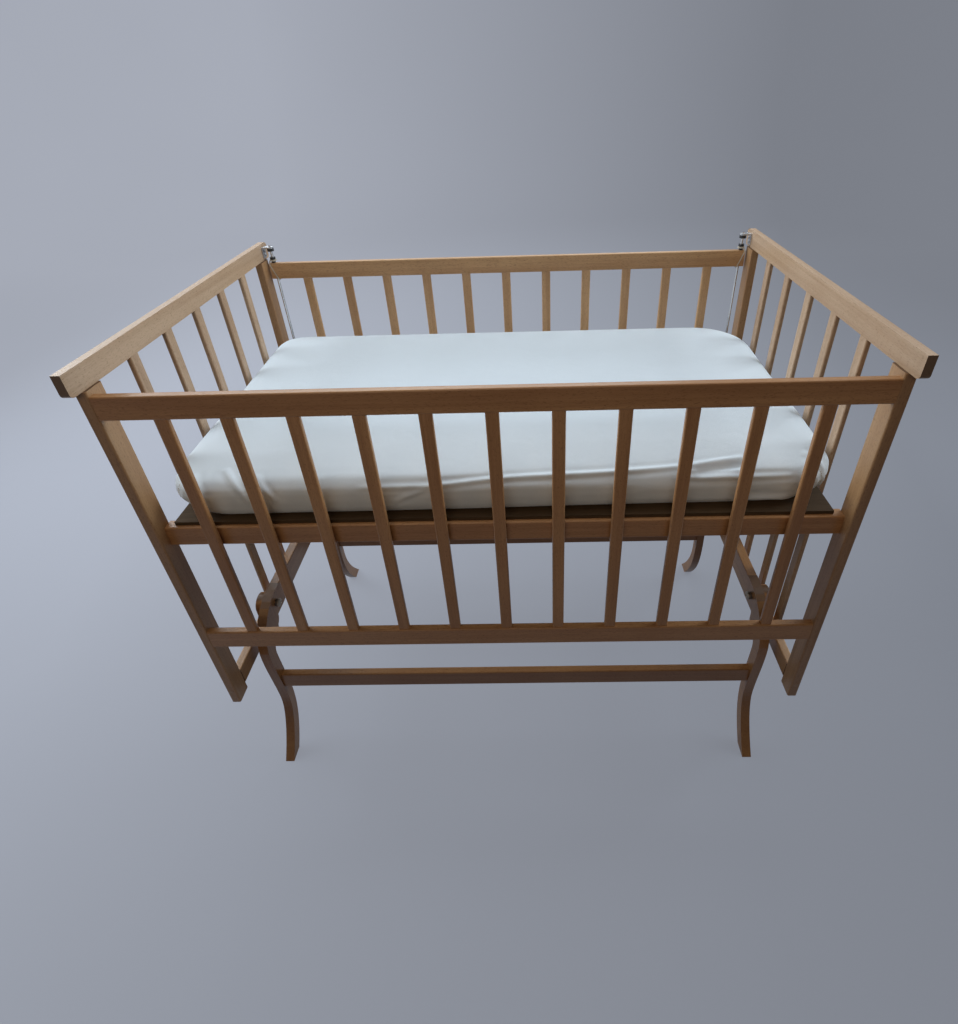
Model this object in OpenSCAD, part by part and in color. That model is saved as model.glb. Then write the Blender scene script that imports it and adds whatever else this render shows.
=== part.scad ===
// Swinging cradle on a wooden stand, with one side that slides down.
// Millimetres. X runs along the cradle, Y across it with the front at -Y, Z up.
// The origin is on the floor, under the middle of the whole object.
// The cradle hangs level from four short wooden links, so it glides front to back.

/* [Cradle frame] */
// Clear length between the posts of the two ends
inner_len = 1000; // [900:10:1200]
// Width over the outer faces of the posts
cradle_w = 554; // [500:2:640]
// Thickness of a post along the cradle
post_t = 16; // [14:1:24]
// Depth of a post across the cradle
post_d = 30; // [24:1:44]
// Height of a post
post_h = 663; // [600:1:760]
// Rounding of the long edges of the wooden bars
edge_r = 2.5; // [1:0.5:4]

/* [End panels] */
// Thickness of the rail on top of an end
end_top_t = 12; // [10:1:16]
// Height of the rail on top of an end
end_top_h = 33; // [26:1:44]
// How far the top rail runs past the posts
end_top_over = 18; // [8:1:40]
// Radius of the lower corners of the top rail's ends
end_top_r = 7; // [3:0.5:12]
// Radius of the upper corner of its back end
end_top_back_r = 9; // [3:0.5:14]
// Height of the rail at the bottom of an end
end_low_h = 36; // [34:1:50]
// Height of that rail's lower edge over the post bottoms
end_low_z = 14; // [5:1:30]
// Number of slats in an end
end_slats = 5; // [3:1:7]
// Distance between the middles of two end slats
end_slat_pitch = 85.5; // [60:0.5:85.5]

/* [Front side] */
// Thickness of the side rails
rail_t = 12; // [11:1:18]
// Height of the front top rail
front_top_h = 35.5; // [28:0.5:50]
// Distance from the front top rail down from the post tops
front_top_drop = 8; // [0:1:40]
// Height of the bottom rails of both sides
side_low_h = 38; // [28:1:50]
// Height of the bottom rails' lower edge over the post bottoms
side_low_z = 160; // [120:1:260]
// Number of slats in a side
side_slats = 11; // [7:1:13]
// Width of a slat
slat_w = 18; // [14:1:26]
// Thickness of a slat
slat_t = 8; // [6:0.5:9]
// Depth of a slat's seat in a rail
slat_seat = 8; // [4:1:9]

/* [Mattress support] */
// Thickness of the rails that carry the board
ledge_t = 18; // [14:1:26]
// Height of those rails
ledge_h = 35; // [26:1:50]
// Height of their top over the post bottoms
ledge_z = 419; // [330:1:430]
// Distance from a post's outer face to the rail's outer face
ledge_inset = 16; // [14:1:24]
// Thickness of the board
board_t = 6; // [4:1:12]
// Play between the board's ends and the posts
board_end_play = 14; // [6:1:20]
// Distance from the outer faces of its rails to the board's long edges
board_side_inset = 6; // [2:1:10]

/* [Mattress] */
// Play between the mattress ends and the end slats
mat_end_play = 3; // [2:1:30]
// Play between the mattress and the front rails
mat_front_play = 8; // [4:1:30]
// Play between the mattress and the sliding side
mat_back_play = 10; // [6:1:40]
// Height of the mattress at its upper edge
mat_edge_h = 56; // [40:1:90]
// Rise of the crown over the upper edge
mat_crown = 26; // [8:1:36]
// Radius of the mattress corners
mat_corner_r = 58; // [30:1:80]
// How far the elastic hem draws the lower edge in
mat_draw_in = 8; // [4:1:24]
// Air between the mattress and the board
mat_air = 0.3; // [0.1:0.1:1]

/* [Sliding side] */
// Distance from the back posts' outer face to the sliding side's inner face
slide_inset = 8; // [4:1:10]
// Height of the sliding side's top rail
slide_top_h = 34; // [28:1:50]
// Distance from the sliding side's top rail down from the post tops
slide_top_drop = 7; // [4:1:40]
// Gap between the rail ends and the posts
slide_end_gap = 3; // [2:0.5:5]
// Distance from a post to the middle of its guide rod, which runs through the rail ends
rod_inset = 12; // [11:0.5:18]
// How far the side slides down
slide_travel = 125; // [60:1:130]
// Diameter of a guide rod
rod_d = 5; // [4:0.5:6]
// Play of the guide rod in its bushes, each side
rod_play = 0.05; // [0.02:0.01:0.1]
// Outer diameter of a bush
bush_d = 8; // [7:0.2:9]
// Height of a bush's collar over the sliding side's top rail
bush_rise = 12; // [8:1:16]
// Outer diameter of the stop ring under the upper bracket
ring_d = 13; // [11:0.5:16]
// Height of the stop ring
ring_h = 6; // [4:1:8]
// Thickness of the bracket sheet
strap_t = 2; // [1.5:0.5:3]
// Diameter of the cotton tie
tie_d = 2.4; // [2:0.2:4]

/* [Stand] */
// Thickness of the stand's boards
stand_t = 18; // [15:1:20]
// Height of the cross bars
bar_h = 51; // [48:1:60]
// Top of the cross bars over the floor
stand_h = 367; // [350:1:380]
// Distance from the middle to a leg's joint with its bar
leg_joint_y = 104; // [60:1:108]
// Reach of a leg at its shoulder
shoulder_y = 206; // [195:1:215]
// Reach of a leg at its waist
waist_y = 199; // [190:1:205]
// Reach of a leg's toe on the floor
toe_y = 258; // [230:1:285]
// Width of a leg at its waist
leg_w = 20; // [18:1:34]
// Length of a foot on the floor
foot_l = 29; // [20:1:50]
// Height of a stretcher
stretcher_h = 38; // [30:1:60]
// Thickness of a stretcher
stretcher_t = 14; // [10:1:16]
// Middle of a stretcher over the floor
stretcher_z = 187; // [150:1:215]

/* [Swing links] */
// Thickness of a link
link_t = 12; // [8:1:12]
// Width of a link
link_w = 40; // [28:1:40]
// Distance between a link's two pivots
link_len = 61; // [50:1:64]
// Distance from the middle of the cradle to a pivot
pivot_y = 132; // [120:1:140]
// Distance from the top of the cross bars down to the upper pivots
pivot_drop = 24; // [21:1:27]
// Diameter of a pivot bolt
pivot_d = 8; // [6:0.5:10]
// Play of a link on its bolt, each side
pivot_play = 0.05; // [0.02:0.01:0.1]
// Side gap between a link and the boards beside it
side_gap = 1; // [0.5:0.1:1.5]
// Diameter of a bolt head
head_d = 16; // [12:0.5:18]
// Height of a bolt head
head_h = 5; // [3:0.5:6]
// Depth of the countersunk heads in the links
sunk_h = 4; // [3:0.5:5]

/* [Hidden] */
fine = 40;
round_n = 24;
cord_n = 10;
// Levels of the cradle
pivot_z = stand_h - pivot_drop;
low_pivot_z = pivot_z - link_len;
post_z = low_pivot_z - end_low_h / 2 - end_low_z;
post_top = post_z + post_h;
end_low_bottom = post_z + end_low_z;
end_low_top = end_low_bottom + end_low_h;
ledge_top = post_z + ledge_z;
side_low_bottom = post_z + side_low_z;
side_low_top = side_low_bottom + side_low_h;
front_top_top = post_top - front_top_drop;
front_top_bottom = front_top_top - front_top_h;
slide_top_top = post_top - slide_top_drop;
slide_top_bottom = slide_top_top - slide_top_h;
// Places along the cradle
end_in = inner_len / 2;
end_out = end_in + post_t;
end_slat_x = end_out - end_top_t / 2 - (end_top_t - slat_t) / 4;
end_low_x = (end_in + end_out) / 2;
// Places across the cradle
post_out = cradle_w / 2;
post_in = post_out - post_d;
front_y = -post_out + rail_t / 2;
slide_in = post_out - slide_inset;
slide_y = slide_in + rail_t / 2;
ledge_y = post_out - ledge_inset - ledge_t / 2;
slat_gap = (inner_len - side_slats * slat_w) / (side_slats + 1);
slat_pitch = slat_gap + slat_w;
// Mattress
board_top = ledge_top + board_t;
mat_z = board_top + mat_air;
mat_front = rail_t - post_out + mat_front_play;
mat_back = slide_in - mat_back_play;
mat_y = (mat_front + mat_back) / 2;
mat_w = mat_back - mat_front;
mat_len = 2 * (end_slat_x - slat_t / 2 - mat_end_play);
// Guide rods
slide_end = end_in - slide_end_gap;
rod_x = end_in - rod_inset;
bush_margin = 4;
bush_flange = 4;
bush_flange_d = bush_d + 3;
lug_t = 3;
lug_w = 12;
lug_spare = 21;
lug_low_z = side_low_bottom - slide_travel - lug_spare;
lug_top_z = post_top + end_top_h - 8;
lug_over = 3;
rod_low = lug_low_z - 6;
ring_top = lug_top_z - lug_t / 2;
strap_w = 14;
strap_h = 22;
strap_up_x = end_out - end_top_t;
// Swing
link_x = end_in - side_gap - link_t / 2;
stand_x = link_x - link_t / 2 - side_gap - stand_t / 2;
stand_in = stand_x - stand_t / 2;
stand_out = stand_x + stand_t / 2;
// Stretchers and their bolts
stretcher_y = waist_y - 1 - stretcher_t / 2;
stand_bolt_d = 6;
stand_head_d = 12;
stand_head_h = 3;
stand_bolt_l = 34;

function side_name(s) = s < 0 ? "left" : "right";
function slat_x(i) = -end_in + slat_gap + slat_w / 2 + slat_pitch * i;
function end_slat_y(i) = (i - (end_slats - 1) / 2) * end_slat_pitch;
function two(n) = n < 10 ? str("0", n) : str(n);

ENDS = ["left", "right"];
CORNERS = ["front_left", "front_right", "back_left", "back_right"];
SLATS = [for (i = [0 : side_slats - 1]) i];

// A bar's section with rounded edges
module round_bar(w, h, r) {
    square([w - 2 * r, h], center = true);
    square([w, h - 2 * r], center = true);
    for (x = [-1, 1], y = [-1, 1])
        translate([x * (w / 2 - r), y * (h / 2 - r)]) circle(r, $fn = round_n);
}

// A bar that stands from z0 to z1, tx thick along X and ty along Y
module upright(tx, ty, z0, z1, r = edge_r) {
    translate([0, 0, z0]) linear_extrude(z1 - z0) round_bar(tx, ty, r);
}

// A bar that lies along X, len long, t thick along Y, from z0 to z1
module lengthwise(len, t, z0, z1, r = edge_r) {
    translate([-len / 2, 0, (z0 + z1) / 2])
        rotate([90, 0, 90]) linear_extrude(len) round_bar(t, z1 - z0, r);
}

// A bar that lies along Y, len long, t thick along X, from z0 to z1
module crosswise(len, t, z0, z1, r = edge_r) {
    translate([0, len / 2, (z0 + z1) / 2])
        rotate([90, 0, 0]) linear_extrude(len) round_bar(t, z1 - z0, r);
}

// A cylinder along X from x0 to x1
module along_x(d, x0, x1) {
    translate([x0, 0, 0]) rotate([0, 90, 0]) cylinder(h = x1 - x0, d = d, $fn = fine);
}

// Puts a child that is made at +X, +Y into the corner with signs sx, sy
module corner(sx, sy) {
    mirror([sx < 0 ? 1 : 0, 0, 0]) mirror([0, sy < 0 ? 1 : 0, 0]) children();
}

// Every corner, for the groups of equal fasteners
module each_corner() {
    for (sx = [-1, 1], sy = [-1, 1]) corner(sx, sy) children();
}

/* Cradle ends */

module post() {
    color("burlywood") translate([end_low_x, (post_in + post_out) / 2, 0])
        upright(post_t, post_d, post_z, post_top);
}

// What a lower left corner at the origin loses when it is rounded
module corner_waste(r) {
    difference() {
        translate([-1, -1]) square(r + 1);
        translate([r, r]) circle(r, $fn = fine);
    }
}

// The outline of the top rail from the side: both lower corners and the back upper one are rounded
module end_top_outline() {
    half = post_out + end_top_over;
    difference() {
        translate([-half, 0]) square([2 * half, end_top_h]);
        translate([-half, 0]) corner_waste(end_top_r);
        translate([half, 0]) mirror([1, 0]) corner_waste(end_top_r);
        translate([half, end_top_h]) rotate(180) corner_waste(end_top_back_r);
    }
}

// The slats of one end at +X, from seat to seat
module end_slat_bars(w, t) {
    for (i = [0 : end_slats - 1])
        translate([end_slat_x, end_slat_y(i), 0])
            upright(t, w, end_low_top - slat_seat, post_top + slat_seat, min(edge_r, t / 3));
}

module end_rail_top() {
    color("wheat") difference() {
        translate([end_out - end_top_t, 0, post_top])
            rotate([90, 0, 90]) linear_extrude(end_top_t) end_top_outline();
        end_slat_bars(slat_w, slat_t);
    }
}

module end_rail_low() {
    color("burlywood") difference() {
        translate([end_low_x, 0, 0])
            crosswise(2 * post_in, post_t, end_low_bottom, end_low_top);
        end_slat_bars(slat_w, slat_t);
        for (s = [-1, 1]) translate([0, s * pivot_y, low_pivot_z])
            along_x(pivot_d, end_in - 1, end_out + 1);
    }
}

module end_slat_group() {
    color("burlywood") end_slat_bars(slat_w, slat_t);
}

/* Cradle sides */

// One slat of a side, from seat to seat
module side_slat(i, low, high) {
    translate([slat_x(i), 0, 0])
        upright(slat_w, slat_t, low - slat_seat, high + slat_seat, min(edge_r, slat_t / 3));
}

module front_slat_bar(i) {
    translate([0, front_y, 0]) side_slat(i, side_low_top, front_top_bottom);
}

module slide_slat_bar(i) {
    translate([0, slide_y, 0]) side_slat(i, side_low_top, slide_top_bottom);
}

module front_rail(low, high) {
    color("peru") difference() {
        translate([0, front_y, 0]) lengthwise(inner_len, rail_t, low, high);
        for (i = SLATS) front_slat_bar(i);
    }
}

// Its ends are bored for the bushes
module slide_rail(low, high) {
    color("peru") difference() {
        translate([0, slide_y, 0]) lengthwise(2 * slide_end, rail_t, low, high);
        for (i = SLATS) slide_slat_bar(i);
        for (s = [-1, 1]) translate([s * rod_x, slide_y, low - 1])
            cylinder(h = high - low + 2, d = bush_d, $fn = fine);
    }
}

module ledge(s) {
    color("peru") translate([0, s * ledge_y, 0])
        lengthwise(inner_len, ledge_t, ledge_top - ledge_h, ledge_top);
}

module base_board() {
    w = 2 * (ledge_y + ledge_t / 2 - board_side_inset);
    color("rosybrown") translate([board_end_play - end_in, -w / 2, ledge_top])
        cube([inner_len - 2 * board_end_play, w, board_t]);
}

/* Mattress */

// Half sizes of the mattress outline, drawn in by d
function mat_point(a, d) =
    let (hx = mat_len / 2 - d, hy = mat_w / 2 - d, r = max(mat_corner_r - d, 12),
         sx = cos(a) >= 0 ? 1 : -1, sy = sin(a) >= 0 ? 1 : -1)
    [sx * (hx - r) + r * cos(a), sy * (hy - r) + r * sin(a)];

// Corner arcs of 9 points each, joined by straight sides with 6 points between
mat_arc_n = 8;
function mat_ring(d, z) = [
    for (q = [0 : 3], k = [0 : mat_arc_n])
        let (a = q * 90 + 0.01 + k * (89.98 / mat_arc_n), p = mat_point(a, d)) [p[0], p[1], z]
];

// The side bulges between its seams, the hem is drawn in and the top is crowned
mat_bulge = 4;
mat_levels = [
    [mat_draw_in + 6, 0],
    [mat_draw_in, 1.5],
    [mat_draw_in * 0.45, 9],
    [mat_bulge * 0.4, 22],
    [0, mat_edge_h * 0.6],
    [mat_bulge * 0.5, mat_edge_h - 9],
    [mat_bulge + 2, mat_edge_h - 1.5],
    [mat_bulge + 4, mat_edge_h],
    [mat_bulge + 9, mat_edge_h + mat_crown * 0.34],
    [mat_bulge + 16, mat_edge_h + mat_crown * 0.63],
    [mat_bulge + 28, mat_edge_h + mat_crown * 0.84],
    [mat_bulge + 60, mat_edge_h + mat_crown * 0.95],
    [mat_bulge + 190, mat_edge_h + mat_crown]
];

module mattress() {
    n = 4 * (mat_arc_n + 1);
    rings = len(mat_levels);
    points = [for (l = mat_levels) each mat_ring(l[0], l[1])];
    sides = [
        for (r = [0 : rings - 2], k = [0 : n - 1])
            let (a = r * n + k, b = r * n + (k + 1) % n) each [[a, b + n, b], [a, a + n, b + n]]
    ];
    top = (rings - 1) * n;
    caps = [
        for (k = [1 : n - 2]) each [[0, k, k + 1], [top, top + k + 1, top + k]]
    ];
    color("white") translate([0, mat_y, mat_z])
        polyhedron(points, concat(sides, caps), convexity = 4);
}

/* Sliding side hardware */

module guide_rod() {
    translate([rod_x, slide_y, rod_low])
        cylinder(h = lug_top_z + lug_t / 2 + lug_over - rod_low, d = rod_d, $fn = fine);
}

// A lug that holds the rod, from its strap at x1
module lug(z, x1) {
    difference() {
        union() {
            translate([rod_x, slide_y, z - lug_t / 2]) cylinder(h = lug_t, d = lug_w, $fn = fine);
            translate([rod_x, slide_y - lug_w / 2, z - lug_t / 2])
                cube([x1 - rod_x, lug_w, lug_t]);
        }
        translate([rod_x, slide_y, z - lug_t])
            cylinder(h = 2 * lug_t, d = rod_d + 2 * rod_play, $fn = fine);
    }
}

// The upper bracket is screwed to the end's top rail and the lower one to the post
module rod_bracket_pair() {
    lug(lug_top_z, strap_up_x);
    translate([strap_up_x - strap_t, slide_y - strap_w / 2, lug_top_z + lug_t / 2 - strap_h])
        cube([strap_t, strap_w, strap_h]);
    lug(lug_low_z, end_in);
    translate([end_in - strap_t, post_out - strap_w, lug_low_z - lug_t / 2])
        cube([strap_t, strap_w, strap_h]);
}

module stop_ring() {
    translate([rod_x, slide_y, ring_top - ring_h]) difference() {
        cylinder(h = ring_h, d = ring_d, $fn = fine);
        translate([0, 0, -1]) cylinder(h = ring_h + 2, d = rod_d + 2 * rod_play, $fn = fine);
    }
}

// A bush in a rail's bore, from z0 to z1, with a collar of height rim at its top
module bush(z0, z1, rim) {
    translate([rod_x, slide_y, 0]) difference() {
        union() {
            translate([0, 0, z0]) cylinder(h = z1 - z0, d = bush_d, $fn = fine);
            if (rim > 0) translate([0, 0, z1 - rim])
                cylinder(h = rim, d = bush_flange_d, $fn = fine);
        }
        translate([0, 0, z0 - 1]) cylinder(h = z1 - z0 + 2, d = rod_d + 2 * rod_play, $fn = fine);
    }
}

module bush_pair() {
    bush(slide_top_bottom + bush_margin, slide_top_top + bush_rise, bush_flange);
    bush(side_low_bottom + bush_margin, side_low_top - bush_margin, 0);
}

// A round cord from p to q with round ends
module cord_run(p, q, d) {
    hull() {
        translate(p) sphere(d = d, $fn = cord_n);
        translate(q) sphere(d = d, $fn = cord_n);
    }
}

// A cotton tie: from under the bush's collar down the rail's face, under the rail and up again
module tie() {
    neck = bush_d / 2 + tie_d / 2;
    face = rail_t / 2 + tie_d / 2 + 0.1;
    neck_z = slide_top_top + bush_rise - bush_flange - tie_d / 2;
    low_x = rod_x - 5;
    points = [
        [rod_x, -neck, neck_z],
        [rod_x - 1, -face, slide_top_top - 1.5],
        [low_x, -face, slide_top_bottom - tie_d / 2],
        [low_x, face, slide_top_bottom - tie_d / 2],
        [rod_x - 1, face, slide_top_top - 1.5],
        [rod_x, neck, neck_z]
    ];
    translate([0, slide_y, 0])
        for (k = [0 : len(points) - 2]) cord_run(points[k], points[k + 1], tie_d);
}

/* Stand */

// Points of a cubic curve from a to d with handles b and c, the last point left out
function curve(a, b, c, d, n = 10) = [
    for (i = [0 : n - 1])
        let (t = i / n, u = 1 - t)
        u * u * u * a + 3 * u * u * t * b + 3 * u * t * t * c + t * t * t * d
];

// Outline of a leg in the Y-Z plane. Its outer edge runs over a round shoulder, in to a waist
// and out to the toe. Its inner edge turns under the bar like a corbel and follows the outer one.
// The handles of the curves are given as reaches along the edge they leave.
shoulder_z = stand_h - 102;
shoulder_w = leg_w + 3;
shoulder_in = shoulder_y - shoulder_w;
waist_z = 130;
waist_in = waist_y - leg_w;
corbel_y = 148;
corbel_z = shoulder_z + 35;
leg_reach = 40;
top_flat_y = 121;
top_reach = 41;
shoulder_reach = 65;
toe_rise = 45;
toe_run = 36;
heel_rise = 55;
heel_run = 41;
inner_low = waist_z + 20;
inner_high = shoulder_z - 7;
inner_reach = 32;
corbel_drop = 17;
function leg_outline() = concat(
    [[leg_joint_y, stand_h]],
    curve([top_flat_y, stand_h], [top_flat_y + top_reach, stand_h],
        [shoulder_y + 3, shoulder_z + shoulder_reach], [shoulder_y, shoulder_z]),
    curve([shoulder_y, shoulder_z], [shoulder_y, shoulder_z - leg_reach],
        [waist_y, waist_z + leg_reach], [waist_y, waist_z]),
    curve([waist_y, waist_z], [waist_y, waist_z - leg_reach], [toe_y - toe_run, toe_rise], [toe_y, 0]),
    [[toe_y, 0], [toe_y - foot_l, 0]],
    curve([toe_y - foot_l, 0], [toe_y - foot_l - heel_run, heel_rise],
        [waist_in, inner_low - heel_rise], [waist_in, inner_low]),
    curve([waist_in, inner_low], [waist_in, inner_low + inner_reach],
        [shoulder_in, inner_high - inner_reach], [shoulder_in, inner_high]),
    curve([shoulder_in, inner_high], [shoulder_in, inner_high + inner_reach],
        [corbel_y, corbel_z - corbel_drop], [corbel_y, corbel_z]),
    [[corbel_y, stand_h - bar_h], [leg_joint_y, stand_h - bar_h]]
);

module stand_bolt_hole(d) {
    translate([0, stretcher_y, stretcher_z]) along_x(d, stand_in - stand_bolt_l, stand_out + 1);
}

module stand_leg() {
    color("peru") difference() {
        translate([stand_in, 0, 0]) rotate([90, 0, 90])
            linear_extrude(stand_t) polygon(leg_outline());
        translate([0, pivot_y, pivot_z]) along_x(pivot_d, stand_in - 1, stand_out + 1);
        stand_bolt_hole(stand_bolt_d);
    }
}

module stand_bar() {
    color("peru") translate([stand_x, 0, 0])
        crosswise(2 * leg_joint_y, stand_t, stand_h - bar_h, stand_h, 1.5);
}

module stretcher() {
    color("peru") difference() {
        translate([0, stretcher_y, 0]) lengthwise(
            2 * stand_in, stretcher_t, stretcher_z - stretcher_h / 2, stretcher_z + stretcher_h / 2);
        for (s = [0, 1]) mirror([s, 0, 0]) stand_bolt_hole(stand_bolt_d);
    }
}

module stand_bolt() {
    translate([0, stretcher_y, stretcher_z]) {
        along_x(stand_bolt_d, stand_in - stand_bolt_l + 1, stand_out + 0.5);
        difference() {
            along_x(stand_head_d, stand_out, stand_out + stand_head_h);
            translate([stand_out + stand_head_h - 2, 0, 0]) rotate([0, 90, 0])
                cylinder(h = 3, d = 5, $fn = 6);
        }
    }
}

/* Swing links */

module link_plate() {
    translate([link_x - link_t / 2, 0, 0]) rotate([90, 0, 90]) linear_extrude(link_t) union() {
        translate([pivot_y - link_w / 2, low_pivot_z]) square([link_w, link_len]);
        translate([pivot_y, low_pivot_z]) circle(d = link_w, $fn = fine);
        translate([pivot_y, pivot_z]) circle(d = link_w, $fn = fine);
    }
}

module swing_link() {
    inner = link_x - link_t / 2;
    outer = link_x + link_t / 2;
    color("burlywood") difference() {
        link_plate();
        for (z = [low_pivot_z, pivot_z]) translate([0, pivot_y, z])
            along_x(pivot_d + 2 * pivot_play, inner - 1, outer + 1);
        translate([0, pivot_y, low_pivot_z])
            along_x(head_d + 2 * pivot_play, inner - 1, inner + sunk_h);
        translate([0, pivot_y, pivot_z])
            along_x(head_d + 2 * pivot_play, outer - sunk_h, outer + 1);
    }
}

// Carried by the stand: a raised head inside the leg and a flat nut sunk in the link
module upper_pivot_bolt() {
    outer = link_x + link_t / 2;
    translate([0, pivot_y, pivot_z]) {
        along_x(pivot_d, stand_in - 1, outer);
        along_x(head_d - 2, stand_in - head_h, stand_in);
        along_x(head_d, outer - sunk_h + pivot_play, outer);
    }
}

// Carried by the cradle: a flat head sunk in the link and a cap nut outside the end's low rail
module lower_pivot_bolt() {
    inner = link_x - link_t / 2;
    translate([0, pivot_y, low_pivot_z]) {
        along_x(pivot_d, inner, end_out);
        along_x(head_d, inner, inner + sunk_h - pivot_play);
    }
}

/* Nodes */

for (k = [0 : 3]) {
    sx = k % 2 == 0 ? -1 : 1;
    sy = k < 2 ? -1 : 1;
    corner(sx, sy) post();
    corner(sx, sy) stand_leg();
    corner(sx, sy) swing_link();
}
for (k = [0, 1]) {
    s = k == 0 ? -1 : 1;
    corner(s, 1) end_rail_top();
    corner(s, 1) end_rail_low();
    corner(s, 1) end_slat_group();
    corner(s, 1) stand_bar();
}
front_rail(front_top_bottom, front_top_top);  // front_rail_top
front_rail(side_low_bottom, side_low_top);  // front_rail_low
ledge(-1);  // front_ledge
ledge(1);  // back_ledge
slide_rail(slide_top_bottom, slide_top_top);  // slide_rail_top
slide_rail(side_low_bottom, side_low_top);  // slide_rail_low
for (i = SLATS) {
    color("sienna") front_slat_bar(i);
    color("sienna") slide_slat_bar(i);
}
base_board();
mattress();
corner(1, -1) stretcher();  // stretcher_front
stretcher();  // stretcher_back
color("silver") each_corner() upper_pivot_bolt();  // upper_pivot_bolts
color("silver") each_corner() lower_pivot_bolt();  // lower_pivot_bolts
color("silver") each_corner() stand_bolt();  // stand_bolts
color("silver") for (s = [-1, 1]) corner(s, 1) guide_rod();  // guide_rods
color("gainsboro") for (s = [-1, 1]) corner(s, 1) rod_bracket_pair();  // rod_brackets
color("black") for (s = [-1, 1]) corner(s, 1) stop_ring();  // stop_rings
color("black") for (s = [-1, 1]) corner(s, 1) bush_pair();  // slide_bushes
color("ivory") for (s = [-1, 1]) corner(s, 1) tie();  // ties
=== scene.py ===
"""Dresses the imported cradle: wood, sheet, hardware, ties, small fasteners and the stage."""

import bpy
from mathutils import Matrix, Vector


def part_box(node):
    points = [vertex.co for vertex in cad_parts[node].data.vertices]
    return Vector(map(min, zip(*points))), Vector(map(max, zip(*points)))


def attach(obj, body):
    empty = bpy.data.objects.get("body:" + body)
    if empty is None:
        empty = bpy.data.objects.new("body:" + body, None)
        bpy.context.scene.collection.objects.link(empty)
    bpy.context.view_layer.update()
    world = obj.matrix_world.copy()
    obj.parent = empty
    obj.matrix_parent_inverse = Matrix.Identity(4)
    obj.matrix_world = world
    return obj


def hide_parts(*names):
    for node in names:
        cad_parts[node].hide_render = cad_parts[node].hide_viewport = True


bl_info = {
    "name": "Swinging Cradle",
    "version": (1, 0, 0),
    "blender": (4, 5, 0),
    "location": "3D View > Sidebar > Cradle",
    "description": "Finishes and fittings of a slatted cradle on its stand",
    "category": "Add Mesh",
}

import math

import bmesh
import bpy
import numpy as np
from mathutils import Matrix, Vector
from mathutils.bvhtree import BVHTree

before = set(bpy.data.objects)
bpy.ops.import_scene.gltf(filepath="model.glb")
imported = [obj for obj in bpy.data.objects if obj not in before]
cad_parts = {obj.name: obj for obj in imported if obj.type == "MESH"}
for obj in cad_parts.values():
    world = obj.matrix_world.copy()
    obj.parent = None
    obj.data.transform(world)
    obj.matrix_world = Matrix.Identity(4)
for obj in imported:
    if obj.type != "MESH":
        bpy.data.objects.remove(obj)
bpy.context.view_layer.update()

ENDS = ("left", "right")
CORNERS = ("front_left", "front_right", "back_left", "back_right")
SLATS = tuple(f"{i:02d}" for i in range(1, 12))
# Bars by their tone, and by the axis that the grain runs along. The tones are copies of one beech,
# set lighter or darker part by part: the pale end rails are painted lighter and paler for the
# bright light on them, and the deep stand and links are painted darker for the shade under the
# cradle.
BARS = {
    "pale": {
        "y": [f"end_rail_top_{e}" for e in ENDS],
        "z": [f"end_slats_{e}" for e in ENDS],
    },
    "golden": {
        "x": ["slide_rail_top", "slide_rail_low"],
        "z": [f"slide_slat_{i}" for i in SLATS],
    },
    "honey": {
        "y": [f"end_rail_low_{e}" for e in ENDS],
        "z": [f"post_{c}" for c in CORNERS],
    },
    "brown": {
        "x": ["front_rail_top", "front_rail_low", "front_ledge", "back_ledge"],
        "z": [f"front_slat_{i}" for i in SLATS],
    },
    "deep": {
        "x": ["stretcher_front", "stretcher_back"],
        "y": [f"stand_bar_{e}" for e in ENDS],
        "z": [f"{n}_{c}" for n in ("stand_leg", "swing_link") for c in CORNERS],
    },
}
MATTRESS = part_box("mattress")
# The wave texture's scale for one thread in a unit of length
WAVE_SCALE = 0.5


# ---- settings


def colour_prop(name, description, default):
    """A colour that a user would change."""
    return bpy.props.FloatVectorProperty(
        name=name, description=description, subtype="COLOR", size=3, min=0, max=1,
        default=default)


def factor_prop(name, description, default, most=1.0):
    """A share that a user would change."""
    return bpy.props.FloatProperty(
        name=name, description=description, subtype="FACTOR", min=0, max=most, default=default)


def length_prop(name, description, default, least, most):
    """A length in metres that a user would change."""
    return bpy.props.FloatProperty(
        name=name, description=description, subtype="DISTANCE", unit="LENGTH",
        min=least, max=most, default=default)


def power_prop(name, description, default):
    """A lamp's power in watts that a user would change."""
    return bpy.props.FloatProperty(
        name=name, description=description, unit="POWER", min=0, default=default)


class WoodSettings(bpy.types.PropertyGroup):
    """Colours and figure of the varnished beech."""

    # Painted light: the end rails' beech is lighter and paler for the bright light on them
    pale: colour_prop(
        "Pale beech", "Light wood of the end rails and their slats", (0.605, 0.430, 0.285))
    golden: colour_prop(
        "Golden beech", "Light wood of the sliding side", (0.640, 0.395, 0.200))
    honey: colour_prop(
        "Honey beech", "Light wood of the posts and the low end rails", (0.490, 0.295, 0.150))
    brown: colour_prop(
        "Brown beech", "Light wood of the front side", (0.575, 0.318, 0.146))
    # Painted shade: the stand's and links' beech is darker for the shade under the cradle
    deep: colour_prop(
        "Deep beech", "Light wood of the stand and links", (0.370, 0.185, 0.068))
    streak: colour_prop(
        "Streaks", "What the dark streaks keep of the light wood", (0.70, 0.62, 0.55))
    fleck: colour_prop(
        "Flecks", "What the short rays in the beech keep of it", (0.44, 0.352, 0.283))
    gloss: factor_prop("Varnish", "Strength of the satin varnish", 0.28)
    relief: length_prop(
        "Grain relief", "Depth of the grain under the varnish", 0.00016, 0, 0.001)


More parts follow.
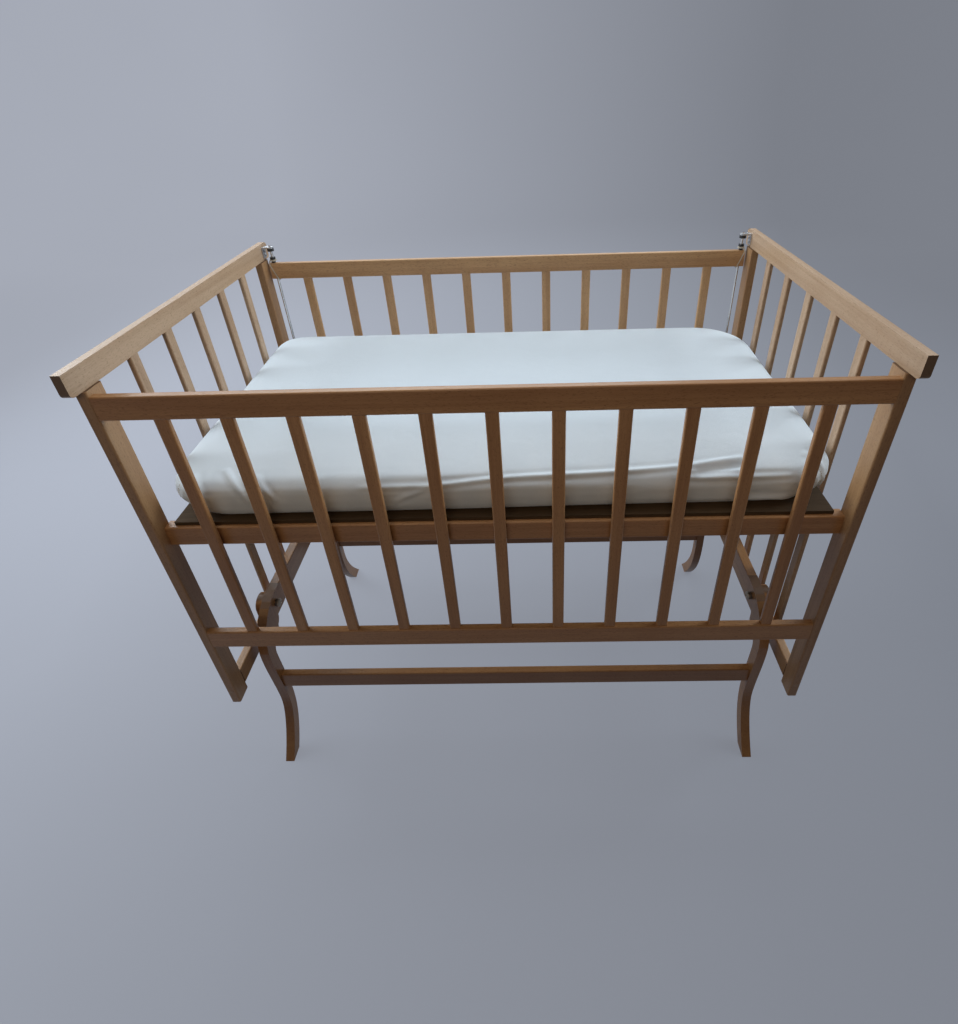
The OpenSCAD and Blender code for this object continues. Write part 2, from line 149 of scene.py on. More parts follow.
class SheetSettings(bpy.types.PropertyGroup):
    """The fitted sheet and the mattress in it."""

    colour: colour_prop("Sheet", "Colour of the cotton", (0.72, 0.80, 0.87))
    thread: length_prop("Thread pitch", "Distance between two threads", 0.0007, 0.0003, 0.002)
    slack: factor_prop("Slack", "Spare cloth round the corners", 0.035, 0.1)
    voxel: length_prop("Cloth grid", "Grid of the simulated cloth", 0.006, 0.004, 0.012)
    cap: length_prop(
        "Largest move", "How far the simulation may move the cloth", 0.009, 0, 0.03)


class FittingSettings(bpy.types.PropertyGroup):
    """Screws, caps, plugs and cord."""

    screw: length_prop("Screw head", "Diameter of a bracket screw's head", 0.00528, 0.004, 0.01)
    cap: length_prop(
        "Bolt cap", "Diameter of the domed cap on a pivot bolt", 0.0164, 0.01, 0.02)
    plug: length_prop(
        "Wood plug", "Diameter of the plugs over the frame screws", 0.0085, 0.005, 0.014)
    strand: length_prop(
        "Strand", "Diameter of one strand of the tie cord", 0.00135, 0.0005, 0.002)
    seed: bpy.props.IntProperty(
        name="Seed", description="Turns the screws' slots", min=0, default=4)


class StageSettings(bpy.types.PropertyGroup):
    """Floor, backdrop and lights."""

    floor: colour_prop(
        "Floor", "What the floor throws back of the lamps' light", (0.11, 0.078, 0.050))
    backdrop: colour_prop(
        "Backdrop", "Pale colour that shows on floor and backdrop", (0.375, 0.40, 0.465))
    key: power_prop("Key light", "Power of the light above the cradle", 12.5)
    left: power_prop("Left light", "Power of the light left of the cradle", 34)
    right: power_prop("Right light", "Power of the light right of the cradle", 32)
    fill: power_prop("Fill light", "Power of the light beside the camera", 5.4)
    back: power_prop("Back light", "Power of the light behind, which glances off the tops", 44)
    sky: bpy.props.FloatProperty(
        name="Sky", description="Strength of the light from all round", min=0, default=0.05)


# ---- node helpers


class Nodes:
    """Adds and joins the nodes of one tree."""

    def __init__(self, tree):
        self.tree = tree

    def wire(self, socket, value):
        """Joins a socket to another one, or sets its value."""
        if isinstance(value, bpy.types.NodeSocket):
            self.tree.links.new(value, socket)
        else:
            socket.default_value = value

    def add(self, kind, inputs=None, **props):
        """A node with its properties and inputs set."""
        node = self.tree.nodes.new(kind)
        for name, value in props.items():
            setattr(node, name, value)
        for name, value in (inputs or {}).items():
            self.wire(node.inputs[name], value)
        return node

    def math(self, operation, a, b=0.0):
        """The result of a sum of one or two values."""
        node = self.add("ShaderNodeMath", operation=operation)
        for socket, value in zip(node.inputs, (a, b)):
            self.wire(socket, value)
        return node.outputs[0]

    def total(self, base, *terms):
        """A base plus value times weight for each (value, weight) of terms."""
        for value, weight in terms:
            base = self.math("ADD", self.math("MULTIPLY", value, weight), base)
        return base

    def mix(self, factor, a, b, blend="MIX"):
        """Mixes two colours."""
        node = self.add("ShaderNodeMix", data_type="RGBA", blend_type=blend)
        self.wire(node.inputs[0], factor)
        for index, value in ((6, a), (7, b)):
            known = not isinstance(value, bpy.types.NodeSocket)
            self.wire(node.inputs[index], (*value, 1.0) if known else value)
        return node.outputs[2]

    def ramp(self, value, *stops):
        """Turns a value through stops of (place, grey)."""
        node = self.add("ShaderNodeValToRGB", {"Fac": value})
        while len(node.color_ramp.elements) < len(stops):
            node.color_ramp.elements.new(0.5)
        for element, (place, grey) in zip(node.color_ramp.elements, stops):
            element.position = place
            element.color = (grey, grey, grey, 1.0)
        return node.outputs["Color"]

    def noise(self, coords, scale, detail=2.0, rough=0.5, distort=0.0):
        """Noise on coordinates, at a scale in 1/m for all axes or for each."""
        if isinstance(scale, float):
            scale = (scale,) * 3
        mapped = self.add("ShaderNodeMapping", {"Vector": coords, "Scale": scale})
        return self.add("ShaderNodeTexNoise", {
            "Vector": mapped.outputs[0], "Scale": 1.0, "Detail": detail,
            "Roughness": rough, "Distortion": distort}).outputs["Fac"]


def new_material(name):
    """An empty material, the helper for its nodes, and the object coordinates in it."""
    material = bpy.data.materials.new(name)
    material.use_nodes = True
    material.node_tree.nodes.clear()
    nodes = Nodes(material.node_tree)
    return material, nodes, nodes.add("ShaderNodeTexCoord").outputs["Object"]


def times(colour, by):
    """A colour times a number, or times another colour."""
    return [a * b for a, b in zip(colour, (by,) * 3 if isinstance(by, float) else by)]


def surface(nodes, colour, rough, height, depth, strength, **fixed):
    """The shader with a bump from height, and plain values set on its own sockets."""
    bump = nodes.add("ShaderNodeBump", {
        "Strength": strength, "Distance": depth, "Height": height})
    shader = nodes.add("ShaderNodeBsdfPrincipled", {
        "Base Color": colour, "Roughness": rough, "Normal": bump.outputs[0]})
    for name, value in fixed.items():
        shader.inputs[name.replace("_", " ")].default_value = value
    nodes.add("ShaderNodeOutputMaterial", {"Surface": shader.outputs[0]})


# ---- materials


def beech(name, grain, light, settings):
    """Varnished beech whose grain runs along one axis."""
    axis = "xyz".index(grain)
    dark = times(light, settings.streak)
    fleck = times(light, settings.fleck)

    def scale(across, along):
        return [along if i == axis else across for i in range(3)]

    material, n, place = new_material(name)
    # Each bar has its own tint: this noise doesn't change along the grain
    tint = n.noise(place, scale(13.0, 0.0), detail=1.0)
    figure = n.noise(place, scale(62.0, 2.2), detail=4.0, rough=0.6, distort=0.9)
    streaks = n.noise(place, scale(330.0, 5.0), detail=3.0, rough=0.6)
    pores = n.noise(place, scale(1500.0, 110.0), detail=1.0)
    rays = n.noise(place, scale(760.0, 210.0), detail=1.0)
    blotch = n.noise(place, 9.0)
    share = n.total(0.0, (figure, 0.95), (streaks, 0.50), (tint, 0.95), (blotch, 0.45))
    share = n.ramp(n.math("MULTIPLY", share, 0.35), (0.39, 0.0), (0.61, 1.0))
    colour = n.mix(share, light, dark)
    colour = n.mix(n.ramp(rays, (0.60, 0.0), (0.72, 0.55)), colour, fleck)
    fine = n.ramp(pores, (0.56, 0.0), (0.78, 0.42))
    colour = n.mix(fine, colour, fleck)
    # The sawn ends are darker and show the rings
    split = n.add("ShaderNodeSeparateXYZ", {"Vector": place.node.outputs["Normal"]})
    ends = n.ramp(n.math("ABSOLUTE", split.outputs[axis]), (0.80, 0.0), (0.94, 1.0))
    rings = n.noise(place, 210.0, detail=3.0, rough=0.65, distort=1.2)
    colour = n.mix(ends, colour, n.mix(rings, times(dark, 0.30), times(dark, 0.55)))
    rough = n.total(0.27, (blotch, 0.14), (streaks, 0.16), (ends, 0.15))
    height = n.total(0.0, (streaks, 0.7), (fine, -0.8))
    surface(n, colour, rough, height, settings.relief, 0.45,
            Coat_Weight=settings.gloss, Coat_Roughness=0.24, Specular_IOR_Level=0.28)
    return material


def plywood(name):
    """The brown board under the mattress: its own brown, darkened with painted shade for the gap
    under the mattress.
    """
    material, n, place = new_material(name)
    figure = n.noise(place, (5.0, 60.0, 60.0), detail=4.0, rough=0.6, distort=0.9)
    fibres = n.noise(place, (40.0, 900.0, 900.0))
    plies = n.noise(place, (3.0, 3.0, 900.0), detail=0.0)
    # Painted shade: these browns are darker than the board's own, for the shade under the mattress
    colour = n.mix(figure, (0.120, 0.078, 0.044), (0.066, 0.042, 0.022))
    colour = n.mix(n.ramp(fibres, (0.5, 0.0), (0.75, 0.6)), colour, (0.042, 0.027, 0.014))
    colour = n.mix(n.ramp(plies, (0.45, 0.0), (0.55, 0.3)), colour, (0.036, 0.022, 0.012))
    surface(n, colour, n.total(0.62, (fibres, 0.2)), fibres, 0.0003, 0.5,
            Specular_IOR_Level=0.12)
    return material


def metal(name, colour, stretch, rough_low):
    """Plated steel with fine rub marks and a little dull bloom."""
    material, n, place = new_material(name)
    marks = n.noise(place, stretch, detail=4.0, rough=0.65)
    bloom = n.noise(place, 55.0, detail=3.0)
    tone = n.mix(bloom, colour, times(colour, 0.72))
    tone = n.mix(n.ramp(marks, (0.55, 0.0), (0.8, 0.5)), tone, times(colour, 0.5))
    rough = n.total(rough_low, (marks, 0.22), (bloom, 0.14))
    surface(n, tone, rough, marks, 0.00008, 0.4, Metallic=1.0)
    return material


def black_plastic(name):
    """Moulded black plastic with a fine spark texture and rubbed high spots."""
    material, n, place = new_material(name)
    spark = n.noise(place, 2600.0)
    rub = n.noise(place, 120.0, detail=3.0)
    rubbed = n.ramp(rub, (0.45, 0.0), (0.75, 1.0))
    colour = n.mix(rubbed, (0.012, 0.012, 0.013), (0.045, 0.045, 0.047))
    surface(n, colour, n.total(0.52, (rub, -0.18)), spark, 0.0001, 0.35)
    return material


def cotton(name, settings):
    """Woven cotton: its threads follow the attribute that runs over the mattress's edge."""
    material, n, place = new_material(name)
    cloth = n.add("ShaderNodeAttribute", attribute_name="cloth_run").outputs["Vector"]
    weave = []
    for direction in ("X", "Y"):
        wave = n.add("ShaderNodeTexWave", {
            "Vector": cloth, "Scale": WAVE_SCALE / settings.thread, "Distortion": 0.6,
            "Detail": 1.0, "Detail Scale": 0.4},
            wave_type="BANDS", bands_direction=direction)
        weave.append(wave.outputs["Fac"])
    threads = n.math("MULTIPLY", *weave)
    slub = n.noise(cloth, (55.0, 900.0, 55.0))
    wash = n.noise(place, 7.0, detail=3.0)
    rumple = n.noise(place, 34.0, detail=3.0, distort=0.8)
    colour = n.mix(n.ramp(wash, (0.35, 0.0), (0.75, 1.0)), settings.colour,
                   times(settings.colour, 0.955))
    colour = n.mix(n.math("MULTIPLY", threads, 0.05), colour, times(settings.colour, 0.8))
    height = n.total(0.0, (threads, 0.10), (rumple, 1.0), (slub, 0.05))
    surface(n, colour, n.total(0.82, (slub, 0.1)), height, 0.0016, 0.35,
            Sheen_Weight=0.18, Sheen_Roughness=0.5, Specular_IOR_Level=0.25)
    return material


def cotton_cord(name):
    """Natural cotton with fine fibres."""
    material, n, place = new_material(name)
    fibres = n.noise(place, 1900.0)
    soil = n.noise(place, 90.0)
    colour = n.mix(fibres, (0.66, 0.62, 0.53), (0.50, 0.45, 0.36))
    colour = n.mix(n.ramp(soil, (0.5, 0.0), (0.8, 0.5)), colour, (0.40, 0.35, 0.27))
    surface(n, colour, n.total(0.85, (soil, 0.1)), fibres, 0.0002, 0.6, Sheen_Weight=0.2)
    return material


def plug_wood(name, settings):
    """Beech plugs, a shade darker than the bars round them."""
    material, n, place = new_material(name)
    rings = n.noise(place, (400.0, 700.0, 400.0), detail=3.0, distort=0.8)
    dots = n.noise(place, 2400.0, detail=1.0)
    wood = settings.golden
    colour = n.mix(rings, times(wood, 0.75), times(times(wood, settings.streak), 0.6))
    colour = n.mix(n.ramp(dots, (0.55, 0.0), (0.75, 0.5)), colour, times(wood, settings.fleck))
    surface(n, colour, n.total(0.42, (rings, 0.12)), dots, 0.0002, 0.4,
            Coat_Weight=settings.gloss, Coat_Roughness=0.3)
    return material


def centre(node):
    """The middle of a CAD node's box."""
    lo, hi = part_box(node)
    return (lo + hi) / 2


def paint(names, material):
    """Gives CAD nodes a material."""
    for name in names:
        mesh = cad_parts[name].data
        mesh.materials.clear()
        mesh.materials.append(material)
        mesh.polygons.foreach_set("material_index", [0] * len(mesh.polygons))


# ---- mesh helpers


def new_object(name, mesh, material=None, smooth=True):
    """Links a mesh as an object at the origin."""
    obj = bpy.data.objects.new(name, mesh)
    bpy.context.scene.collection.objects.link(obj)
    if material is not None:
        mesh.materials.clear()
        mesh.materials.append(material)
    if smooth:
        mesh.polygons.foreach_set("use_smooth", [True] * len(mesh.polygons))
    return obj


def ring_mesh(name, rings, cap_end=True):
    """A mesh lofted through closed rings of equal length, closed at its start."""
    count = len(rings[0])
    points = [p for ring in rings for p in ring]
    faces = []
    for r in range(len(rings) - 1):
        for k in range(count):
            a, b = r * count + k, r * count + (k + 1) % count
            faces.append((a, b, b + count, a + count))
    faces.append(tuple(reversed(range(count))))
    if cap_end:
        faces.append(tuple(range((len(rings) - 1) * count, len(rings) * count)))
    mesh = bpy.data.meshes.new(name)
    mesh.from_pydata([tuple(p) for p in points], [], faces)
    mesh.update()
    return mesh


def outward(mesh):
    """Turns the faces of a closed mesh outwards."""
    bm = bmesh.new()
    bm.from_mesh(mesh)
    bmesh.ops.remove_doubles(bm, verts=bm.verts, dist=1e-6)
    bmesh.ops.recalc_face_normals(bm, faces=bm.faces)
    bm.to_mesh(mesh)
    bm.free()
    return mesh


def applied(obj):
    """Replaces an object's mesh with what its modifiers make, and clears them."""
    graph = bpy.context.evaluated_depsgraph_get()
    mesh = bpy.data.meshes.new_from_object(obj.evaluated_get(graph))
    obj.modifiers.clear()
    obj.data = mesh
    return obj


def circle(radius, count):
    """Evenly spaced (x, y) pairs round the origin."""
    turns = [2 * math.pi * k / count for k in range(count)]
    return [(radius * math.cos(t), radius * math.sin(t)) for t in turns]


def head_mesh(name, profile, recess, segments=32):
    """A screw or bolt head, 1 wide. profile is (radius, height) pairs and recess cuts its top."""
    return outward(ring_mesh(name, [
        [(x, y, height - recess(x, y)) for x, y in circle(radius, segments)]
        for radius, height in profile]))


def cross_recess(x, y):
    """The cross of a screw, cut into a head 1 wide."""
    if math.hypot(x, y) > 0.30:
        return 0.0
    return 0.16 if min(abs(x), abs(y)) < 0.055 else 0.0


def hex_recess(x, y):
    """The hexagon socket of a bolt, cut into a head 1 wide."""
    reach = max(abs(x * math.cos(a) + y * math.sin(a)) for a in (0, math.pi / 3, 2 * math.pi / 3))
    return 0.18 if reach < 0.16 else 0.0


def no_recess(x, y):
    """The plain top of a stitch or plug."""
    return 0.0


def new_tree(name, given, inputs, made):
    """Geometry Nodes with geometry and named inputs going in, and geometry coming out."""
    tree = bpy.data.node_groups.new(name, "GeometryNodeTree")
    for label, kind in ((given, "Geometry"), *inputs, ("Finish", "Material")):
        tree.interface.new_socket(label, in_out="INPUT", socket_type=f"NodeSocket{kind}")
    tree.interface.new_socket(made, in_out="OUTPUT", socket_type="NodeSocketGeometry")
    nodes = Nodes(tree)
    return tree, nodes, nodes.add("NodeGroupInput").outputs


def hand_out(n, geometry, finish, made):
    """Makes the copies real, gives them their finish and ends the tree."""
    real = n.add("GeometryNodeRealizeInstances", {"Geometry": geometry})
    done = n.add("GeometryNodeSetMaterial", {
        "Geometry": real.outputs["Geometry"], "Material": finish})
    n.add("NodeGroupOutput", {made: done.outputs["Geometry"]})


def copies_tree(name):
    """Geometry Nodes that set a head on every point, turned by the attribute turn."""
    tree, n, given = new_tree(name, "Points", (
        ("Head", "Object"), ("Diameter", "Float"), ("Seed", "Int")), "Heads")
    head = n.add("GeometryNodeObjectInfo", {"Object": given["Head"]})
    turn = n.add("GeometryNodeInputNamedAttribute", {"Name": "turn"}, data_type="FLOAT_VECTOR")
    spun = n.add("FunctionNodeRandomValue", {"Seed": given["Seed"]}, data_type="FLOAT")
    spun.inputs[2].default_value = 0.0
    spun.inputs[3].default_value = 2 * math.pi
    spin = n.add("ShaderNodeCombineXYZ", {"Z": spun.outputs[1]})
    facing = n.add("FunctionNodeEulerToRotation", {"Euler": turn.outputs["Attribute"]})
    placed = n.add("GeometryNodeInstanceOnPoints", {
        "Points": given["Points"], "Instance": head.outputs["Geometry"],
        "Rotation": facing.outputs["Rotation"]})
    sized = n.add("GeometryNodeScaleInstances", {
        "Instances": placed.outputs["Instances"], "Scale": given["Diameter"]})
    turned = n.add("GeometryNodeRotateInstances", {
        "Instances": sized.outputs["Instances"], "Rotation": spin.outputs["Vector"],
        "Local Space": True})
    hand_out(n, turned.outputs["Instances"], given["Finish"], "Heads")
    return tree


def set_input(modifier, tree, label, value):
    """Sets a modifier's input through its socket's identifier."""
    for item in tree.interface.items_tree:
        if item.item_type == "SOCKET" and item.in_out == "INPUT" and item.name == label:
            modifier[item.identifier] = value
            return
    raise RuntimeError(f"no input named {label}")


def grown(obj, tree, **inputs):
    """Turns an object into what a tree makes of it with the named inputs."""
    modifier = obj.modifiers.new(tree.name, "NODES")
    modifier.node_group = tree
    for label, value in inputs.items():
        set_input(modifier, tree, label, value)
    applied(obj)
    if not obj.data.polygons:
        raise RuntimeError(f"{obj.name} came out empty")
    return obj


def copies(name, head, spots, size, finish, seed):
    """One mesh with a copy of head at every (place, direction) of spots."""
    points = bpy.data.meshes.new(name)
    points.from_pydata([tuple(p) for p, _ in spots], [], [])
    turns = points.attributes.new("turn", "FLOAT_VECTOR", "POINT")
    for item, (_, direction) in zip(turns.data, spots):
        item.vector = Vector(direction).to_track_quat("Z", "Y").to_euler()
    obj = new_object(name, points, smooth=False)
    shape = new_object(name + "_shape", head)
    tree = bpy.data.node_groups.get("Heads on points") or copies_tree("Heads on points")
    grown(obj, tree, Head=shape, Diameter=size, Seed=seed, Finish=finish)
    bpy.data.objects.remove(shape)
    return obj


def strands_tree(name):
    """Geometry Nodes that give every curve a round section."""
    tree, n, given = new_tree(name, "Paths", (("Strand", "Float"), ("Sides", "Int")), "Cord")
    radius = n.math("MULTIPLY", given["Strand"], 0.5)
    curve = n.add("GeometryNodeMeshToCurve", {"Mesh": given["Paths"]})
    section = n.add("GeometryNodeCurvePrimitiveCircle", {
        "Resolution": given["Sides"], "Radius": radius})
    tube = n.add("GeometryNodeCurveToMesh", {
        "Curve": curve.outputs["Curve"], "Profile Curve": section.outputs["Curve"],
        "Fill Caps": True})
    soft = n.add("GeometryNodeSetShadeSmooth", {"Geometry": tube.outputs["Mesh"]})
    hand_out(n, soft.outputs["Geometry"], given["Finish"], "Cord")
    return tree


def strands(name, paths, size, finish, sides=6):
    """One mesh of round strands along paths of points."""
    points, edges = [], []
    for path in paths:
        start = len(points)
        points += [tuple(p) for p in path]
        edges += [(start + i, start + i + 1) for i in range(len(path) - 1)]
    mesh = bpy.data.meshes.new(name)
    mesh.from_pydata(points, edges, [])
    obj = new_object(name, mesh, smooth=False)
    tree = bpy.data.node_groups.get("Strands on paths") or strands_tree("Strands on paths")
    grown(obj, tree, Strand=size, Sides=sides, Finish=finish)
    outward(obj.data)
    return obj


def smooth_path(points, per_span):
    """A curve through points, sampled evenly between them."""
    points = [Vector(p) for p in points]
    path = []
    for i in range(len(points) - 1):
        a = points[max(i - 1, 0)]
        b, c = points[i], points[i + 1]
        d = points[min(i + 2, len(points) - 1)]
        for k in range(per_span):
            t = k / per_span
            path.append(0.5 * (2 * b + (c - a) * t + (2 * a - 5 * b + 4 * c - d) * t * t
                               + (3 * b - a - 3 * c + d) * t ** 3))
    path.append(points[-1])
    return path


def twisted(path, radius, turns_per_m, count=2):
    """Paths of strands that wind round a path."""
    side = Vector((0.31, 0.87, 0.38)).normalized()
    out = [[] for _ in range(count)]
    run = 0.0
    for i, p in enumerate(path):
        a, b = path[max(i - 1, 0)], path[min(i + 1, len(path) - 1)]
        along = (b - a).normalized()
        side = (side - along * side.dot(along)).normalized()
        other = along.cross(side)
        if i:
            run += (p - path[i - 1]).length
        for k in range(count):
            turn = 2 * math.pi * (run * turns_per_m + k / count)
            out[k].append(p + radius * (math.cos(turn) * side + math.sin(turn) * other))
    return out


def resampled(path, step):
    """The same path with points a step apart."""
    out, left = [path[0]], step
    for a, b in zip(path, path[1:]):
        length = (b - a).length
        while length >= left and length > 0:
            a = a.lerp(b, left / length)
            out.append(a)
            length = (b - a).length
            left = step
        left -= length
    out.append(path[-1])
    return out


# ---- mattress


def rounded_ring(end, side, count=96):
    """A ring round the mattress, drawn in by end and side."""
    lo, hi = MATTRESS
    x0, x1, y0, y1 = lo.x + end, hi.x - end, lo.y + side, hi.y - side
    points = []
    spots = ((x1, y1, 1, 1), (x0, y1, -1, 1), (x0, y0, -1, -1), (x1, y0, 1, -1))
    for q, ((x, y, sx, sy), radius) in enumerate(zip(spots, CORNER_RADII)):
        radius += (end + side) * 0.15
        cx, cy = x - sx * radius, y - sy * radius
        for k in range(count // 4):
            turn = math.radians(90 * (q + k / (count // 4 - 1)))
            x, y = cx + radius * math.cos(turn), cy + radius * math.sin(turn)
            points.append(Vector((x, y, lo.z)))
    return points


# How far the ends and the sides are drawn in from the hem up over the crown, with the height
# at the front and at the back. The ends bulge higher up than the sides do.
SIDES = (
    (0.0500, 0.0180, 0.0008, 0.0008), (0.0390, 0.0090, 0.0012, 0.0012),
    (0.0290, 0.0055, 0.0050, 0.0050), (0.0180, 0.0028, 0.0120, 0.0120),
    (0.0090, 0.0010, 0.0220, 0.0220), (0.0040, 0.0006, 0.0310, 0.0330),
    (0.0015, 0.0012, 0.0395, 0.0430), (0.0020, 0.0026, 0.0460, 0.0520),
    (0.0045, 0.0058, 0.0510, 0.0605), (0.0090, 0.0105, 0.0545, 0.0680),
    (0.0160, 0.0180, 0.0570, 0.0735), (0.0280, 0.0300, 0.0592, 0.0772),
    (0.0500, 0.0500, 0.0618, 0.0793), (0.0800, 0.0780, 0.0650, 0.0804),
    (0.1300, 0.1280, 0.0705, 0.0812), (0.1900, 0.1880, 0.0760, 0.0816),
)
# How far the front is set back along the mattress, as (X, distance)
SET_BACK = ((-0.50, 0.009), (-0.40, 0.004), (-0.15, 0.0), (0.09, 0.004), (0.30, 0.0115),
            (0.50, 0.0165))
# Right back, left back, left front, right front
CORNER_RADII = (0.085, 0.034, 0.056, 0.060)
# The front's height turns into the back's over this depth, and nothing passes the crown
FRONT_SLOPE = 0.24
CROWN = SIDES[-1][3]


def mattress_shell(shrink):
    """The closed form of the mattress, drawn in evenly by shrink."""
    lo, hi = MATTRESS
    rings = []
    for end, side, front, back in SIDES:
        ring = rounded_ring(end + shrink, side + shrink)
        for p in ring:
            share = (p.y - lo.y) / (hi.y - lo.y)
            rise = min((p.y - lo.y) / FRONT_SLOPE, 1.0)
            height = front + (back - front) * rise * rise * (3 - 2 * rise)
            p.z += min(max(height, shrink), CROWN - shrink)
            p.y += (1 - share) ** 2 * float(np.interp(p.x, *zip(*SET_BACK)))
        rings.append(ring)
    return outward(ring_mesh("mattress_shell", rings))


def remeshed(obj, voxel):
    """Evens out an object's faces."""
    modifier = obj.modifiers.new("Grid", "REMESH")
    modifier.mode = "VOXEL"
    modifier.voxel_size = voxel
    modifier.use_smooth_shade = True
    return applied(obj)


def corner_slack(p):
    """How much spare cloth there is at a point, 0 to 1."""
    lo, hi = MATTRESS
    share = 0.0
    for x, y, reach, amount in ((lo.x, lo.y, 0.24, 1.0), (hi.x, lo.y, 0.30, 1.0),
                                (lo.x, hi.y, 0.12, 0.4), (hi.x, hi.y, 0.12, 0.35)):
        away = math.hypot(p.x - x, p.y - y)
        share = max(share, amount * max(0.0, 1 - away / reach))
    front = max(0.0, 1 - abs(p.y - lo.y) / 0.07) * 0.35
    return min(1.0, max(share, front))


# Clearance of the cloth over the core, the frames it has to settle, and the pinned hem
CLOTH_GAP = 0.0012
CLOTH_FRAMES = 22
HEM = 0.012


def simulate(obj, settings):
    """Lets the spare cloth settle over the mattress, and keeps each point within the cap."""
    start = [v.co.copy() for v in obj.data.vertices]
    floor = MATTRESS[0].z + HEM
    pinned = obj.vertex_groups.new(name="pinned")
    spare = obj.vertex_groups.new(name="spare")
    for v in obj.data.vertices:
        if v.co.z < floor:
            pinned.add([v.index], 1.0, "REPLACE")
        amount = corner_slack(v.co)
        if amount > 0:
            spare.add([v.index], amount, "REPLACE")
    core = new_object("mattress_core", mattress_shell(0.0035))
    remeshed(core, 0.012)
    core.modifiers.new("Block", "COLLISION")
    core.collision.thickness_outer = CLOTH_GAP
    core.collision.cloth_friction = 6
    cloth = obj.modifiers.new("Cloth", "CLOTH")
    s = cloth.settings
    s.quality = 6
    s.mass = 0.2
    s.tension_stiffness = s.compression_stiffness = 12
    s.shear_stiffness = 5
    s.bending_stiffness = 0.15
    s.vertex_group_mass = "pinned"
    s.vertex_group_shrink = "spare"
    s.shrink_min = 0.0
    s.shrink_max = -settings.slack
    s.effector_weights.gravity = 0.6
    cloth.collision_settings.distance_min = CLOTH_GAP
    cloth.collision_settings.collision_quality = 3
    cloth.point_cache.frame_start = 1
    cloth.point_cache.frame_end = CLOTH_FRAMES + 2
    scene = bpy.context.scene
    for step in range(1, CLOTH_FRAMES + 1):
        scene.frame_set(step)
    applied(obj)
    scene.frame_set(1)
    bpy.data.objects.remove(core)
    for v, old in zip(obj.data.vertices, start):
        move = v.co - old
        if move.length > settings.cap:
            v.co = old + move * (settings.cap / move.length)
    return obj


# Folds of the sheet: points in X, Y and height over the mattress bottom, then width and rise
FOLDS = (
    (((-0.21, -0.2433, 0.049), (-0.104, -0.2421, 0.0496), (0.009, -0.2341, 0.0551),
      (0.147, -0.2287, 0.0565), (0.265, -0.2206, 0.0582), (0.364, -0.2055, 0.0606)),
     0.0034, 0.0030),
    (((0.262, -0.2368, 0.0512), (0.319, -0.2371, 0.0508), (0.362, -0.2369, 0.0504),
      (0.425, -0.2350, 0.0504)), 0.0032, 0.0032),
    (((0.285, -0.2300, 0.0556), (0.325, -0.2240, 0.0578), (0.370, -0.2180, 0.0585)),
     0.0060, -0.0050),
    (((-0.4105, -0.2101, 0.0611), (-0.3932, -0.2297, 0.0577), (-0.3768, -0.2458, 0.0482),
      (-0.3690, -0.2487, 0.030)), 0.0042, 0.0036),
    (((-0.3560, -0.2233, 0.0589), (-0.3460, -0.2414, 0.0528), (-0.3340, -0.2470, 0.0420),
      (-0.327, -0.2483, 0.030)), 0.0038, 0.0028),
    (((-0.455, -0.2165, 0.0565), (-0.4405, -0.2400, 0.0500), (-0.432, -0.2478, 0.0360)),
     0.0045, 0.0034),
    (((-0.156, -0.2466, 0.0240), (-0.1299, -0.2461, 0.0367), (-0.100, -0.2440, 0.0470)),
     0.0040, 0.0016),
    (((0.340, -0.2384, 0.0080), (0.3817, -0.2397, 0.0149), (0.4294, -0.2346, 0.0090)),
     0.0050, 0.0030),
    (((0.452, -0.195, 0.058), (0.462, -0.204, 0.040), (0.462, -0.207, 0.020)),
     0.0050, 0.0028),
)


def places(mesh, normals=False):
    """The points of a mesh, or their normals, as an array."""
    out = np.empty(len(mesh.vertices) * 3)
    source = mesh.vertex_normals if normals else mesh.vertices
    source.foreach_get("vector" if normals else "co", out)
    return out.reshape(-1, 3)


def fold(points, normals, tree, line, width, rise):
    """Raises a soft ridge with a hollow on both sides along a line laid on the surface."""
    lift = MATTRESS[0].z
    path = smooth_path([(x, y, lift + z) for x, y, z in line], 10)
    path = np.array([tree.find_nearest(p)[0] for p in path])
    near = np.all((points > path.min(0) - 4 * width) & (points < path.max(0) + 4 * width), axis=1)
    spots = points[near]
    best = np.full(len(spots), 1.0)
    where = np.zeros(len(spots))
    for k, (a, b) in enumerate(zip(path, path[1:])):
        run = b - a
        t = np.clip((spots - a) @ run / (run @ run), 0.0, 1.0)
        away = np.linalg.norm(spots - a - t[:, None] * run, axis=1)
        closer = away < best
        best[closer] = away[closer]
        where[closer] = (k + t[closer]) / (len(path) - 1)
    across = best / width
    ridge = np.exp(-across ** 2) - 0.35 * np.exp(-(across - 1.9) ** 2)
    fade = np.sin(np.pi * np.clip(where, 0.0, 1.0)) ** 0.6
    points[near] = spots + normals[near] * (rise * fade * ridge)[:, None]


def surface_tree(mesh):
    """The surface of a mesh, to look up the nearest place on it."""
    return BVHTree.FromPolygons(
        [v.co for v in mesh.vertices], [p.vertices for p in mesh.polygons])


def keep_in_box(points, spare=0.0015):
    """Pulls points that pass the mattress box back to it."""
    lo, hi = (np.array(corner) for corner in MATTRESS)
    return np.clip(points, lo - (spare, spare, 0.0), hi + spare)


def run_attribute(mesh):
    """Stores where each point lies on the cloth, so that the weave turns over the edges."""
    points = places(mesh)
    drop = MATTRESS[1].z - points[:, 2]
    points = points + places(mesh, normals=True) * drop[:, None]
    points[:, 2] = 0.0
    run = mesh.attributes.new("cloth_run", "FLOAT_VECTOR", "POINT")
    run.data.foreach_set("vector", points.ravel())


# ---- operators


